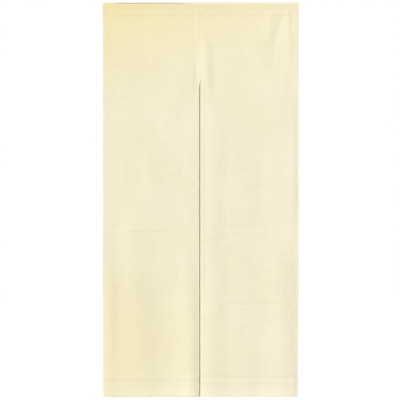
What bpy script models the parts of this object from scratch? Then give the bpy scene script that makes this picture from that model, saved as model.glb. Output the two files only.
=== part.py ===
"""Noren curtain: two hemmed cloth panels, joined by a centre seam above a slit, with a rod pocket on top.

Metres, +Z up. X runs across the curtain, its front faces -Y, and the origin lies on the axis of the rod
pocket, half way along it. Each panel is one closed sheet. Its grid has a station for each place along the
cloth's path, which climbs the front from the bottom edge, turns over the rod's space and comes down the back
to the pocket's stitch row, and a column for each place across the panel. At every grid point the sheet has an
outer point, on the cloth's right side, and an inner point, one or more layers of cloth behind it.
"""

from collections import namedtuple
from math import asin, cos, exp, pi, radians, sin, tan

import bmesh
import bpy

# The curtain as it hangs
HALF_WIDTH = 0.421
LEFT_LENGTH = 1.700
RIGHT_LENGTH = 1.697
LEFT_BOTTOM_HEM = 0.075
RIGHT_BOTTOM_HEM = 0.087
SEAM_X = -0.0016
SEAM_GAP = 0.0003

# Cloth and hems
CLOTH = 0.0010
HEM_LAYER = 0.0009
SIDE_HEM = 0.025
HEM_RAMP = 0.0015
SLIT_HEM_X = -0.0130

# Rod pocket, with drops measured down from the top edge
POCKET_RADIUS = 0.009
POCKET_STITCH = 0.0515
POCKET_JOIN_HIGH = 0.049
POCKET_JOIN_LOW = 0.054
POCKET_SIDE_STEPS = 3
ARCH_STEPS = 8

# Centre seam and slit
LAP_ROOT_X = -0.0060
LAP_TUCK = 0.0575
LAP_SEWN = 0.0610
SLIT_TOP = 0.326
SLIT_OPEN = 0.379
SLIT_TAPER_STEPS = 4
INNER_BEND = 0.0003

# Spacing of the grid
COLUMN_SPACING = 0.020
ROW_SPACING = 0.050
BOTTOM_HEM_STEPS = 2
SEAM_SIDE_STEPS = 2

# Folds settle in below the pocket, over this stretch
FOLDS_START = 0.060
FOLDS_FULL = 0.200
FOLD_FADE = 0.120

# Finish
CLOTH_COLOUR = (0.86, 0.79, 0.58, 1.0)
CLOTH_ROUGHNESS = 0.92
SHARP_ANGLE = radians(50.0)

Panel = namedtuple("Panel", "name length bottom_hem low_x high_x lapped")
PANELS = (
    Panel("left_panel", LEFT_LENGTH, LEFT_BOTTOM_HEM, -HALF_WIDTH, SEAM_X - SEAM_GAP / 2, True),
    Panel("right_panel", RIGHT_LENGTH, RIGHT_BOTTOM_HEM, SEAM_X + SEAM_GAP / 2, HALF_WIDTH, False),
)

# A row for each fold, as a soft ridge (depth above zero, towards the front) or trough (below zero). Its
# middle runs from top_x at top_drop to bottom_x at bottom_drop.
Fold = namedtuple("Fold", "top_x bottom_x top_drop bottom_drop half_width depth")
FOLDS = (
    Fold(-0.322, -0.300, 0.34, 0.64, 0.042, 0.0014),
    Fold(-0.218, -0.200, 0.62, 0.92, 0.030, 0.0014),
    Fold(-0.124, -0.122, 0.32, 0.60, 0.042, 0.0014),
    Fold(-0.355, -0.345, 0.86, 1.34, 0.034, -0.0012),
    Fold(-0.306, -0.272, 0.84, 1.50, 0.045, 0.0016),
    Fold(-0.392, -0.392, 1.15, 1.84, 0.026, 0.0024),
    Fold(-0.214, -0.180, 0.92, 1.36, 0.046, -0.0020),
    Fold(-0.160, -0.146, 1.18, 1.80, 0.085, -0.0072),
    Fold(-0.060, -0.044, 0.90, 1.84, 0.038, 0.0032),
    Fold(0.018, 0.029, 0.09, 0.42, 0.022, 0.0032),
    Fold(0.068, 0.062, 0.16, 0.48, 0.024, -0.0012),
    Fold(0.050, 0.050, 0.30, 1.86, 0.040, 0.0020),
    Fold(0.090, 0.090, 0.30, 1.86, 0.060, 0.0018),
    Fold(0.104, 0.108, 0.60, 1.84, 0.036, -0.0014),
    Fold(0.260, 0.252, 0.62, 1.84, 0.040, -0.0012),
    Fold(0.344, 0.356, 1.06, 1.80, 0.044, 0.0026),
    Fold(0.396, 0.398, 0.30, 0.56, 0.034, -0.0022),
    Fold(0.350, 0.292, 0.03, 0.34, 0.025, -0.0016),
    Fold(0.386, 0.374, 0.04, 0.36, 0.028, 0.0012),
)

# A row for each section of the left panel's lap, which lies behind the right panel: sewn to it at the seam,
# and hanging clear of it at the slit. The lap turns back at a shoulder, falls away and turns again at a foot.
LapSection = namedtuple("LapSection", "drop shoulder_x angle shoulder_radius fall foot_radius edge_x")
LAP_SECTIONS = (
    LapSection(LAP_TUCK, -0.00600, 60.0, 0.0010, 0.0016, 0.0010, SEAM_X - SEAM_GAP / 2),
    LapSection(LAP_SEWN, -0.00245, 85.0, 0.0005, 0.0018, 0.0005, 0.0098),
    LapSection(SLIT_TOP, -0.00245, 85.0, 0.0005, 0.0018, 0.0005, 0.0098),
    LapSection(SLIT_OPEN, -0.00800, 75.0, 0.0026, 0.0035, 0.0050, 0.0068),
    LapSection(LEFT_LENGTH, -0.00840, 75.0, 0.0028, 0.0036, 0.0050, 0.0064),
)
LAP_POINTS = 7

# A station of the cloth's path: the part of the path it is on, its drop, its place (an angle round the arch,
# or a share of the way down the back), and whether the bottom hem lies behind it
Station = namedtuple("Station", "part drop place hemmed")
Column = namedtuple("Column", "x hemmed lap_index")


def clear_scene():
    """Removes every object of the scene."""
    for thing in list(bpy.data.objects):
        bpy.data.objects.remove(thing, do_unlink=True)


def smooth(low, high, value):
    """A smooth climb from 0 at low to 1 at high."""
    share = min(max((value - low) / (high - low), 0.0), 1.0)
    return share * share * (3.0 - 2.0 * share)


def spaced(start, end, spacing):
    """Values from start to end, both included, in even steps of about the given spacing."""
    return divided(start, end, max(1, round(abs(end - start) / spacing)))


def divided(start, end, steps):
    """Values from start to end, both included, in the given number of even steps."""
    return [start + (end - start) * step / steps for step in range(steps + 1)]


def fold_depth(x, drop):
    """How far the folds carry the cloth along Y at one place: below zero is towards the front."""
    total = 0.0
    for fold in FOLDS:
        along = min(max((drop - fold.top_drop) / (fold.bottom_drop - fold.top_drop), 0.0), 1.0)
        middle = fold.top_x + (fold.bottom_x - fold.top_x) * along
        faded_in = smooth(fold.top_drop, fold.top_drop + FOLD_FADE, drop)
        faded_out = smooth(fold.bottom_drop, fold.bottom_drop - FOLD_FADE, drop)
        total += fold.depth * faded_in * faded_out * exp(-(((x - middle) / fold.half_width) ** 2))
    return -total * smooth(FOLDS_START, FOLDS_FULL, drop)


def panel_columns(panel):
    """The panel's columns in the order of rising X, with two close together at each hem's inner edge."""
    low_hem = panel.low_x + SIDE_HEM
    high_hem = SLIT_HEM_X if panel.lapped else panel.high_x - SIDE_HEM
    low_steps = 1 if panel.lapped else SEAM_SIDE_STEPS
    columns = [Column(x, True, None) for x in divided(panel.low_x, low_hem - HEM_RAMP / 2, low_steps)]
    body = spaced(low_hem + HEM_RAMP / 2, high_hem - HEM_RAMP / 2, COLUMN_SPACING)
    columns += [Column(x, False, None) for x in body]
    columns.append(Column(high_hem + HEM_RAMP / 2, True, None))
    if panel.lapped:
        root = divided(LAP_ROOT_X, panel.high_x, LAP_POINTS - 1)
        columns += [Column(x, True, index) for index, x in enumerate(root)]
    else:
        columns.append(Column(panel.high_x, True, None))
    return columns


def panel_stations(panel):
    """The stations of the panel's cloth path, from its bottom edge to the stitch row at the pocket's back."""
    hem_top = panel.length - panel.bottom_hem
    drops = divided(panel.length, hem_top + HEM_RAMP, BOTTOM_HEM_STEPS)
    stations = [Station("front", drop, 0.0, True) for drop in drops]
    below_join = spaced(hem_top, SLIT_OPEN, ROW_SPACING)
    below_join += divided(SLIT_OPEN, SLIT_TOP, SLIT_TAPER_STEPS)[1:]
    below_join += spaced(SLIT_TOP, LAP_SEWN, ROW_SPACING)[1:]
    below_join += [LAP_TUCK, POCKET_JOIN_LOW, POCKET_JOIN_HIGH]
    arch_start = POCKET_RADIUS * (1.0 + sin(pocket_slant()))
    pocket_side = divided(POCKET_JOIN_HIGH, arch_start, POCKET_SIDE_STEPS)[1:-1]
    stations += [Station("front", drop, 0.0, False) for drop in below_join + pocket_side]
    turns = divided(-pocket_slant(), pi + pocket_slant(), ARCH_STEPS)
    stations += [Station("arch", 0.0, turn, False) for turn in turns]
    shares = divided(0.0, 1.0, POCKET_SIDE_STEPS)[1:-1]
    stations += [Station("back", 0.0, share, False) for share in shares]
    return stations


def pocket_slant():
    """The angle from upright at which the pocket's two sides run from the arch to the stitch row."""
    return asin((POCKET_RADIUS - CLOTH) / (POCKET_STITCH - POCKET_RADIUS))


def front_y(drop):
    """Y of the front's outer face before the folds: straight below the stitch row, slanted above it."""
    arch_y = -POCKET_RADIUS * cos(pocket_slant())
    arch_drop = POCKET_RADIUS * (1.0 + sin(pocket_slant()))
    share = min(max((POCKET_STITCH - drop) / (POCKET_STITCH - arch_drop), 0.0), 1.0)
    return -CLOTH + (arch_y + CLOTH) * share


def lap_section(drop):
    """The lap's section at one drop, between the two rows of the table that it lies between."""
    for above, below in zip(LAP_SECTIONS, LAP_SECTIONS[1:]):
        if drop <= below.drop:
            share = smooth(above.drop, below.drop, drop)
            return LapSection(*(low + (high - low) * share for low, high in zip(above, below)))
    return LAP_SECTIONS[-1]


def bent_profile(start_x, angle, shoulder_radius, fall, foot_radius, edge_x):
    """Points of the lap in plan, as (x, depth behind the face): shoulder, fall, foot and run to the edge."""
    half = angle / 2.0
    points = []
    for turn in (0.0, half, angle):
        points.append((start_x + shoulder_radius * sin(turn), shoulder_radius * (1.0 - cos(turn))))
    x, depth = points[-1]
    x += fall * cos(angle)
    depth += fall * sin(angle)
    points.append((x, depth))
    for turn in (half, 0.0):
        foot_x = x + foot_radius * (sin(angle) - sin(turn))
        foot_depth = depth + foot_radius * (cos(turn) - cos(angle))
        points.append((foot_x, foot_depth))
    points.append((edge_x, points[-1][1]))
    return points


def lap_profiles(drop, thickness):
    """The lap's outer and inner profile at one drop. The inner one runs parallel, one thickness behind."""
    lap = lap_section(drop)
    angle = radians(lap.angle)
    corner = tan(angle / 2.0)
    outer = bent_profile(lap.shoulder_x, angle, lap.shoulder_radius, lap.fall, lap.foot_radius, lap.edge_x)
    inner_shoulder = max(lap.shoulder_radius - thickness, INNER_BEND)
    inner_foot = lap.foot_radius + thickness
    shift = (lap.shoulder_radius - thickness - inner_shoulder) * corner
    inner_start, inner_fall = lap.shoulder_x + shift, lap.fall + shift
    inner = bent_profile(inner_start, angle, inner_shoulder, inner_fall, inner_foot, lap.edge_x)
    return outer, [(x, depth + thickness) for x, depth in inner]


def front_points(panel, station, column, thickness):
    """The outer and inner point of one column on the front of the cloth's path."""
    drop = station.drop
    z = POCKET_RADIUS - drop
    face = front_y(drop)
    if column.lap_index is None or drop < LAP_TUCK:
        y = face + fold_depth(column.x, drop)
        return (column.x, y, z), (column.x, y + thickness, z)
    outer, inner = lap_profiles(drop, thickness)
    outer_x, outer_depth = outer[column.lap_index]
    inner_x, inner_depth = inner[column.lap_index]
    outer_y = face + outer_depth + fold_depth(outer_x, drop)
    inner_y = face + inner_depth + fold_depth(inner_x, drop)
    return (outer_x, outer_y, z), (inner_x, inner_y, z)


def arch_points(station, column, thickness):
    """The outer and inner point of one column where the cloth turns over the rod's space."""
    outer = (column.x, -POCKET_RADIUS * cos(station.place), POCKET_RADIUS * sin(station.place))
    reach = POCKET_RADIUS - thickness
    inner = (column.x, -reach * cos(station.place), reach * sin(station.place))
    return outer, inner


def back_points(station, column, thickness):
    """The outer and inner point of one column on the pocket's back, which slants down to the stitch row."""
    top_y = POCKET_RADIUS * cos(pocket_slant())
    top_z = -POCKET_RADIUS * sin(pocket_slant())
    foot_y = front_y(POCKET_JOIN_LOW) + thickness
    foot_z = POCKET_RADIUS - POCKET_JOIN_LOW
    y = top_y + (foot_y - top_y) * station.place
    z = top_z + (foot_z - top_z) * station.place
    return (column.x, y, z), (column.x, y - thickness, z)


def station_points(panel, station, column):
    """The outer and inner point of one column at one station."""
    layers = int(column.hemmed) + int(station.hemmed)
    thickness = CLOTH + HEM_LAYER * layers
    if station.part == "arch":
        return arch_points(station, column, thickness)
    if station.part == "back":
        return back_points(station, column, thickness)
    return front_points(panel, station, column, thickness)


def panel_grid(mesh, panel):
    """The panel's outer and inner grid of vertices, and the station where the pocket's back joins."""
    columns = panel_columns(panel)
    stations = panel_stations(panel)
    outer, inner = [], []
    for station in stations:
        pairs = [station_points(panel, station, column) for column in columns]
        outer.append([mesh.verts.new(pair[0]) for pair in pairs])
        inner.append([mesh.verts.new(pair[1]) for pair in pairs])
    join = next(index for index, station in enumerate(stations) if station.drop == POCKET_JOIN_HIGH)
    outer.append(inner[join - 1])
    inner.append(inner[join])
    return outer, inner, join


def panel_mesh(panel):
    """A closed mesh of the panel: right side, wrong side, pocket hollow, bottom edge and both side edges."""
    mesh = bmesh.new()
    outer, inner, join = panel_grid(mesh, panel)
    rows = range(len(outer) - 1)
    last = len(outer[0]) - 1
    for row in rows:
        for column in range(last):
            beside, above = column + 1, row + 1
            low, high = outer[row], outer[above]
            mesh.faces.new((low[column], low[beside], high[beside], high[column]))
            if above != join:
                low, high = inner[row], inner[above]
                mesh.faces.new((low[column], high[column], high[beside], low[beside]))
        mesh.faces.new((outer[row][0], outer[row + 1][0], inner[row + 1][0], inner[row][0]))
        mesh.faces.new((inner[row][last], inner[row + 1][last], outer[row + 1][last], outer[row][last]))
    for column in range(last):
        mesh.faces.new((outer[0][column], inner[0][column], inner[0][column + 1], outer[0][column + 1]))
    bmesh.ops.triangulate(mesh, faces=mesh.faces[:], quad_method="FIXED")
    data = bpy.data.meshes.new(panel.name)
    mesh.to_mesh(data)
    mesh.free()
    return data


def cloth_material(name):
    """A matt natural cloth."""
    material = bpy.data.materials.new(name)
    material.use_nodes = True
    shader = material.node_tree.nodes["Principled BSDF"]
    shader.inputs["Base Color"].default_value = CLOTH_COLOUR
    shader.inputs["Roughness"].default_value = CLOTH_ROUGHNESS
    shader.inputs["Metallic"].default_value = 0.0
    return material


def add_panel(panel):
    """Adds one panel as its own object, smooth but for its cut edges."""
    data = panel_mesh(panel)
    data.materials.append(cloth_material(panel.name + "_cloth"))
    data.shade_smooth()
    data.set_sharp_from_angle(angle=SHARP_ANGLE)
    piece = bpy.data.objects.new(panel.name, data)
    bpy.context.scene.collection.objects.link(piece)
    return piece


def main():
    """Builds the curtain."""
    clear_scene()
    for panel in PANELS:
        add_panel(panel)


main()
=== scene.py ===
"""The looks of a noren curtain: two panels of natural plain-weave cloth, with hems, rod pocket and stitches.

Sizes are in metres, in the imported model's frame: X runs across the curtain, its front faces -Y, +Z is up,
and the origin lies on the axis of the rod pocket. A drop is a distance down from the curtain's top edge.
"""

import logging
from dataclasses import dataclass, field
from enum import Enum
from math import asin, cos, hypot, pi, radians, sin, tan
from typing import Callable, Iterable, NamedTuple, Optional, Sequence, Union

import bmesh
import bpy
import numpy as np
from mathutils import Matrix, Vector, noise


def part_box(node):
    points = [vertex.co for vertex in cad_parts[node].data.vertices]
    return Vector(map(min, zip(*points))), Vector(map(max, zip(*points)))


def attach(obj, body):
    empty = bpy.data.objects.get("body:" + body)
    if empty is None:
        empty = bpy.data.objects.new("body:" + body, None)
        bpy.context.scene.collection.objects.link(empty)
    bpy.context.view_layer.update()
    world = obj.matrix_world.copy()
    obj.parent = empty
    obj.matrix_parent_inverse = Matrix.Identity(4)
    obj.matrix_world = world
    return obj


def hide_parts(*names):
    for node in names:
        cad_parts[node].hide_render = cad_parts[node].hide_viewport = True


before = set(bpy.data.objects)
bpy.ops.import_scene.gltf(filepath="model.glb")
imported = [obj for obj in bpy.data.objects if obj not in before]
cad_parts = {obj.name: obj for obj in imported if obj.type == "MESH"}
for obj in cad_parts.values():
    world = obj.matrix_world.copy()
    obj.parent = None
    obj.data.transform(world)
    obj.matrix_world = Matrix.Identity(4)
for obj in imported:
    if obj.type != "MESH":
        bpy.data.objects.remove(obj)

LOG = logging.getLogger("noren")
BODY = "root"
SLOT = "natural_cloth"
UV_NAME = "weave"

Array = np.ndarray
Socket = bpy.types.NodeSocket
Material = bpy.types.Material
Number = Union[float, Array]
Lines = list[tuple[Array, Array]]
Feed = Union["Wire", float, Sequence[float], Socket]
Colour = tuple[float, float, float, float]


class Fold(NamedTuple):
    """A soft ridge (depth above zero, towards the front) or trough, from a top to a bottom point."""

    top_x: float
    bottom_x: float
    top_drop: float
    bottom_drop: float
    half_width: float
    depth: float


FOLDS = (
    Fold(-0.322, -0.300, 0.34, 0.64, 0.042, 0.0014),
    Fold(-0.218, -0.200, 0.62, 0.92, 0.030, 0.0014),
    Fold(-0.124, -0.122, 0.32, 0.60, 0.042, 0.0014),
    Fold(-0.355, -0.345, 0.86, 1.34, 0.034, -0.0012),
    Fold(-0.302, -0.268, 0.84, 1.50, 0.045, 0.0014),
    Fold(-0.392, -0.392, 1.15, 1.84, 0.026, 0.0024),
    Fold(-0.214, -0.180, 0.96, 1.36, 0.046, -0.0015),
    Fold(-0.160, -0.146, 1.18, 1.76, 0.085, -0.0072),
    Fold(-0.030, -0.034, 0.42, 1.04, 0.034, 0.0013),
    Fold(-0.057, -0.034, 1.00, 1.86, 0.034, 0.0029),
    Fold(-0.006, -0.006, 1.18, 1.88, 0.018, -0.0026),
    Fold(-0.0145, -0.0145, 0.90, 1.88, 0.006, -0.0004),
    Fold(-0.0113, -0.0113, 0.36, 1.10, 0.0032, -0.0003),
    Fold(-0.0113, -0.0113, 0.98, 1.90, 0.0032, -0.0006),
    Fold(-0.018, -0.017, 0.20, 0.42, 0.011, -0.0018),
    Fold(0.0065, 0.0065, 0.30, 1.90, 0.0048, 0.0005),
    Fold(0.019, 0.029, 0.09, 0.42, 0.021, 0.0034),
    Fold(0.068, 0.062, 0.16, 0.48, 0.024, -0.0012),
    Fold(0.050, 0.050, 0.30, 1.86, 0.040, 0.0023),
    Fold(0.090, 0.090, 0.30, 1.86, 0.060, 0.0018),
    Fold(0.104, 0.108, 0.60, 1.84, 0.036, -0.0014),
    Fold(0.260, 0.252, 0.62, 1.84, 0.040, -0.0012),
    Fold(0.344, 0.356, 1.06, 1.80, 0.044, 0.0026),
    Fold(0.396, 0.398, 0.28, 0.60, 0.038, -0.0028),
    Fold(0.4185, 0.4185, 0.34, 1.00, 0.012, -0.0030),
    Fold(0.4135, 0.4135, 0.90, 1.60, 0.012, -0.0011),
    Fold(0.4175, 0.4175, 1.48, 1.90, 0.012, -0.0030),
    Fold(0.350, 0.292, 0.03, 0.34, 0.025, -0.0016),
    Fold(0.386, 0.374, 0.04, 0.36, 0.028, 0.0012),
)


class Crease(NamedTuple):
    """A narrow ridge (height above zero) or groove along a straight line, fading out at both ends."""

    start_x: float
    start_drop: float
    end_x: float
    end_drop: float
    half_width: float
    height: float


CREASES = (
    Crease(-0.370, 0.982, -0.130, 0.974, 0.0070, 0.0017),
    Crease(-0.180, 0.731, -0.078, 0.731, 0.0070, 0.0013),
    Crease(0.272, 0.660, 0.378, 0.670, 0.0070, 0.0014),
    Crease(0.020, 1.030, 0.110, 1.026, 0.0080, -0.0016),
    Crease(0.078, 0.985, 0.302, 0.992, 0.0070, 0.0020),
    Crease(0.085, 1.300, 0.400, 1.302, 0.0060, -0.0022),
    Crease(0.361, 0.030, 0.306, 0.200, 0.0115, -0.0014),
    Crease(0.312, 0.030, 0.286, 0.165, 0.0190, 0.0016),
    Crease(0.378, 0.030, 0.376, 0.160, 0.0110, 0.0010),
    Crease(0.394, 0.028, 0.393, 0.135, 0.0075, -0.0006),
    Crease(-0.029, 0.036, -0.029, 0.110, 0.0050, -0.0006),
    Crease(0.0015, 0.036, 0.0015, 0.110, 0.0045, -0.0004),
    Crease(0.0205, 0.036, 0.0205, 0.110, 0.0040, -0.0004),
)


class Tuck(NamedTuple):
    """A sharp line pressed into the pocket's top, deepest between its two ends, with painted shade along it.
    """

    start_x: float
    end_x: float
    fade: float
    drop: float
    half_width: float
    depth: float
    faint_share: float
    painted_shade_half: float
    painted_shade: float


# The tuck's last two values set its painted shade: the band's half width and its strength.
TOP_TUCK = Tuck(-0.368, -0.064, 0.018, 0.0049, 0.0009, 0.0030, 0.12, 0.0013, 0.75)
TUCK_STEPS = (-1.4, -1.1, -0.9, -0.6, 0.0, 0.6, 0.9, 1.1, 1.4)


class Swell(NamedTuple):
    """A soft level ridge (height above zero) or dip that runs right across a panel."""

    drop: float
    half_width: float
    height: float


LEFT_SWELLS = (Swell(1.620, 0.0070, 0.0016), Swell(1.688, 0.0100, 0.0022))
RIGHT_SWELLS = (Swell(1.614, 0.0080, -0.0015), Swell(1.629, 0.0090, 0.0012), Swell(1.689, 0.0080, 0.0005))

# Rows of x and of how far the bottom edge hangs below the solid's there
LEFT_EDGE = (
    (-0.420, -0.0010),
    (-0.300, 0.0000),
    (-0.210, 0.0000),
    (-0.165, -0.0008),
    (-0.140, -0.0009),
    (-0.105, 0.0015),
    (-0.070, 0.0004),
    (-0.035, -0.0020),
)
RIGHT_EDGE = ((0.000, 0.0012), (0.060, 0.0004), (0.100, 0.0018), (0.250, 0.0018), (0.420, 0.0008))


class Pinch(NamedTuple):
    """A small round dimple where rows of stitches cross."""

    x: float
    drop: float
    radius: float
    depth: float


PINCHES = (
    Pinch(-0.397, 0.043, 0.0050, 0.0012),
    Pinch(-0.024, 0.050, 0.0050, 0.0010),
    Pinch(0.388, 0.049, 0.0050, 0.0012),
    Pinch(0.359, 0.030, 0.0040, 0.0006),
)


class Lumps(NamedTuple):
    """Smooth unevenness: its height, its lumps' width and length, and the number that picks its pattern."""

    height: float
    wide: float
    long: float
    seed: float

    def at(self, x: Array, z: Optional[Array] = None) -> Array:
        """Reads the unevenness at some places.

        Args:
            x: places across.
            z: places down, or none where the lumps lie in one row.

        Returns:
            The height at each place.
        """
        z = x * 0.0 if z is None else z
        places = zip((x / self.wide).ravel(), (z / self.long).ravel())
        heights = [noise.noise(Vector((across, down, self.seed))) for across, down in places]
        return self.height * np.array(heights).reshape(x.shape)


BROAD_LUMPS = Lumps(0.0006, 0.055, 0.210, 3.1)
SMALL_LUMPS = Lumps(0.00022, 0.022, 0.060, 7.7)
EDGE_WANDER = Lumps(0.0006, 0.160, 1.0, 2.3)
ARCH_LUMPS = Lumps(0.0004, 0.045, 1.0, 5.5)
BACK_LUMPS = Lumps(0.0006, 0.030, 1.0, 9.1)
SWELL_LUMPS = Lumps(0.45, 0.050, 1.0, 40.0)
PUCKERS = Lumps(0.0004, 0.011, 0.030, 0.0)


class LapSection(NamedTuple):
    """One section of the left panel's lap behind the right panel: shoulder, fall, foot and run."""

    drop: float
    shoulder_x: float
    angle: float
    shoulder_radius: float
    fall: float
    foot_radius: float
    edge_x: float


# Drops at which the lap starts, dips behind the right panel and is sewn to it, and at which the slit opens
LAP_TUCK = 0.0575
LAP_DIP = 0.0581
LAP_SEWN = 0.0610
SLIT_TOP = 0.326
SLIT_OPEN = 0.379
LAP_SECTIONS = (
    LapSection(LAP_TUCK, -0.00290, 30.0, 0.0003, 0.0005, 0.0003, -0.00203),
    LapSection(LAP_DIP, -0.00245, 89.0, 0.00018, 0.0021, 0.0002, -0.00203),
    LapSection(LAP_SEWN, -0.00166, 90.0, 0.00018, 0.0020, 0.0005, 0.0098),
    LapSection(SLIT_TOP, -0.00166, 90.0, 0.00018, 0.0020, 0.0005, 0.0098),
    LapSection(SLIT_OPEN, -0.00755, 84.0, 0.0012, 0.0062, 0.0026, 0.0068),
    LapSection(1.700, -0.00760, 84.0, 0.0013, 0.0060, 0.0026, 0.0064),
)
LAP_ROOT_X = -0.0060
LAP_BEND = (0.0, 0.25, 0.5, 0.75, 1.0)
LAP_FALL = (0.5, 1.0)
LAP_RUN = (0.2, 0.45, 0.7, 0.9, 1.0)
LAP_POINTS = len(LAP_BEND) + len(LAP_FALL) + len(LAP_BEND[1:]) + len(LAP_RUN)
INNER_BEND = 0.0001

# Places of the closer columns and rows round a seam or crease, the share of a spacing that crowds a
# neighbour, a distance that counts as touching, and the least length that is divided by
CLOSE_COLUMNS = (-0.0035, -0.0012, 0.0, 0.0010)
CLOSE_ROWS = (-0.0035, -0.0012, 0.0, 0.0012, 0.0035)
CROWDED = 0.4
TOUCH = 1e-6
TINY = 1e-9


def smooth(low: float, high: float, value: Number) -> Number:
    """A smooth climb from 0 at low to 1 at high, which may lie below low, read at a value."""
    share = np.clip((value - low) / (high - low), 0.0, 1.0)
    return share * share * (3.0 - 2.0 * share)


def between(low: float, high: float, fade: float, value: Number) -> Number:
    """0 outside low and high and 1 between them, after a smooth climb of length fade at both ends."""
    return smooth(low, low + fade, value) * smooth(high, high - fade, value)


def bell(off_centre: Number, half_width: float, power: int = 2) -> Number:
    """A bell curve with a height of 1, flatter on top and steeper at its sides with a higher power."""
    return np.exp(-((off_centre / half_width) ** power))


def divided(start: float, end: float, steps: int) -> list[float]:
    """Values from start to end, both included, in even steps."""
    return [start + (end - start) * step / steps for step in range(steps + 1)]


def graded(
    low: float, high: float, spacing: float, rows: Iterable[float] = (), offsets: Sequence[float] = (0.0,)
) -> list[float]:
    """Even values from low to high, with closer ones round certain rows.

    Args:
        low: the first value.
        high: the last value.
        spacing: the even step, as nearly as it divides the stretch.
        rows: the values that get closer neighbours.
        offsets: the places of those neighbours, from the row.

    Returns:
        The sorted values.
    """
    close = [row + offset for row in rows for offset in offsets if low < row + offset < high]
    even = divided(low, high, max(1, round((high - low) / spacing)))
    kept = [value for value in even[1:-1] if all(abs(value - other) > CROWDED * spacing for other in close)]
    return sorted([low, high] + kept + close)


def lap_section(drop: float) -> LapSection:
    """The lap's section at one drop, worked out from the table's two nearest rows.

    Args:
        drop: the place down the curtain.

    Returns:
        The section.
    """
    for above, below in zip(LAP_SECTIONS, LAP_SECTIONS[1:]):
        if drop <= below.drop:
            share = float(smooth(above.drop, below.drop, drop))
            return LapSection(*(low + (high - low) * share for low, high in zip(above, below)))
    return LAP_SECTIONS[-1]


def bent_profile(lap: LapSection) -> Array:
    """Points of one side of the lap in plan.

    Args:
        lap: the side's section.

    Returns:
        Rows of x and of the depth behind the panel's face.
    """
    angle = radians(lap.angle)
    points = []
    for share in LAP_BEND:
        turn = angle * share
        shoulder_x = lap.shoulder_x + lap.shoulder_radius * sin(turn)
        points.append((shoulder_x, lap.shoulder_radius * (1.0 - cos(turn))))
    x, depth = points[-1]
    forwards, down = lap.fall * cos(angle), lap.fall * sin(angle)
    points += [(x + forwards * share, depth + down * share) for share in LAP_FALL]
    x, depth = points[-1]
    for share in LAP_BEND[1:]:
        turn = angle * (1.0 - share)
        foot_x = x + lap.foot_radius * (sin(angle) - sin(turn))
        points.append((foot_x, depth + lap.foot_radius * (cos(turn) - cos(angle))))
    x, depth = points[-1]
    return np.array(points + [(x + (lap.edge_x - x) * share, depth) for share in LAP_RUN])


def lap_profiles(drop: float, thickness: float) -> tuple[Array, Array]:
    """The lap's outer and inner profile at one drop.

    Args:
        drop: the place down the curtain.
        thickness: how far the inner profile lies behind the outer one, measured square to it.

    Returns:
        Two arrays of (x, depth) rows.
    """
    lap = lap_section(drop)
    inner_shoulder = max(lap.shoulder_radius - thickness, INNER_BEND)
    shift = (lap.shoulder_radius - thickness - inner_shoulder) * tan(radians(lap.angle) / 2.0)
    inner = lap._replace(
        shoulder_x=lap.shoulder_x + shift,
        shoulder_radius=inner_shoulder,
        fall=lap.fall + shift,
        foot_radius=lap.foot_radius + thickness,
    )
    return bent_profile(lap), bent_profile(inner) + (0.0, thickness)


def arithmetic(operation: str, swapped: bool = False) -> Callable[["Wire", Feed], "Wire"]:
    """A method that adds a Math node for a wire and another term, in that order unless swapped."""

    def method(wire: "Wire", other: Feed) -> "Wire":
        """The node's result."""
        terms = (other, wire) if swapped else (wire, other)
        return wire.graph.math(operation, *terms)

    return method


class Wire:
    """A node socket that carries a value, with arithmetic that adds Math nodes."""

    def __init__(self, graph: "Graph", socket: Socket) -> None:
        """Keeps the graph and the socket."""
        self.graph = graph
        self.socket = socket

    __add__ = arithmetic("ADD")
    __radd__ = arithmetic("ADD", swapped=True)
    __sub__ = arithmetic("SUBTRACT")
    __rsub__ = arithmetic("SUBTRACT", swapped=True)
    __mul__ = arithmetic("MULTIPLY")
    __truediv__ = arithmetic("DIVIDE")
    __pow__ = arithmetic("POWER")


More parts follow.
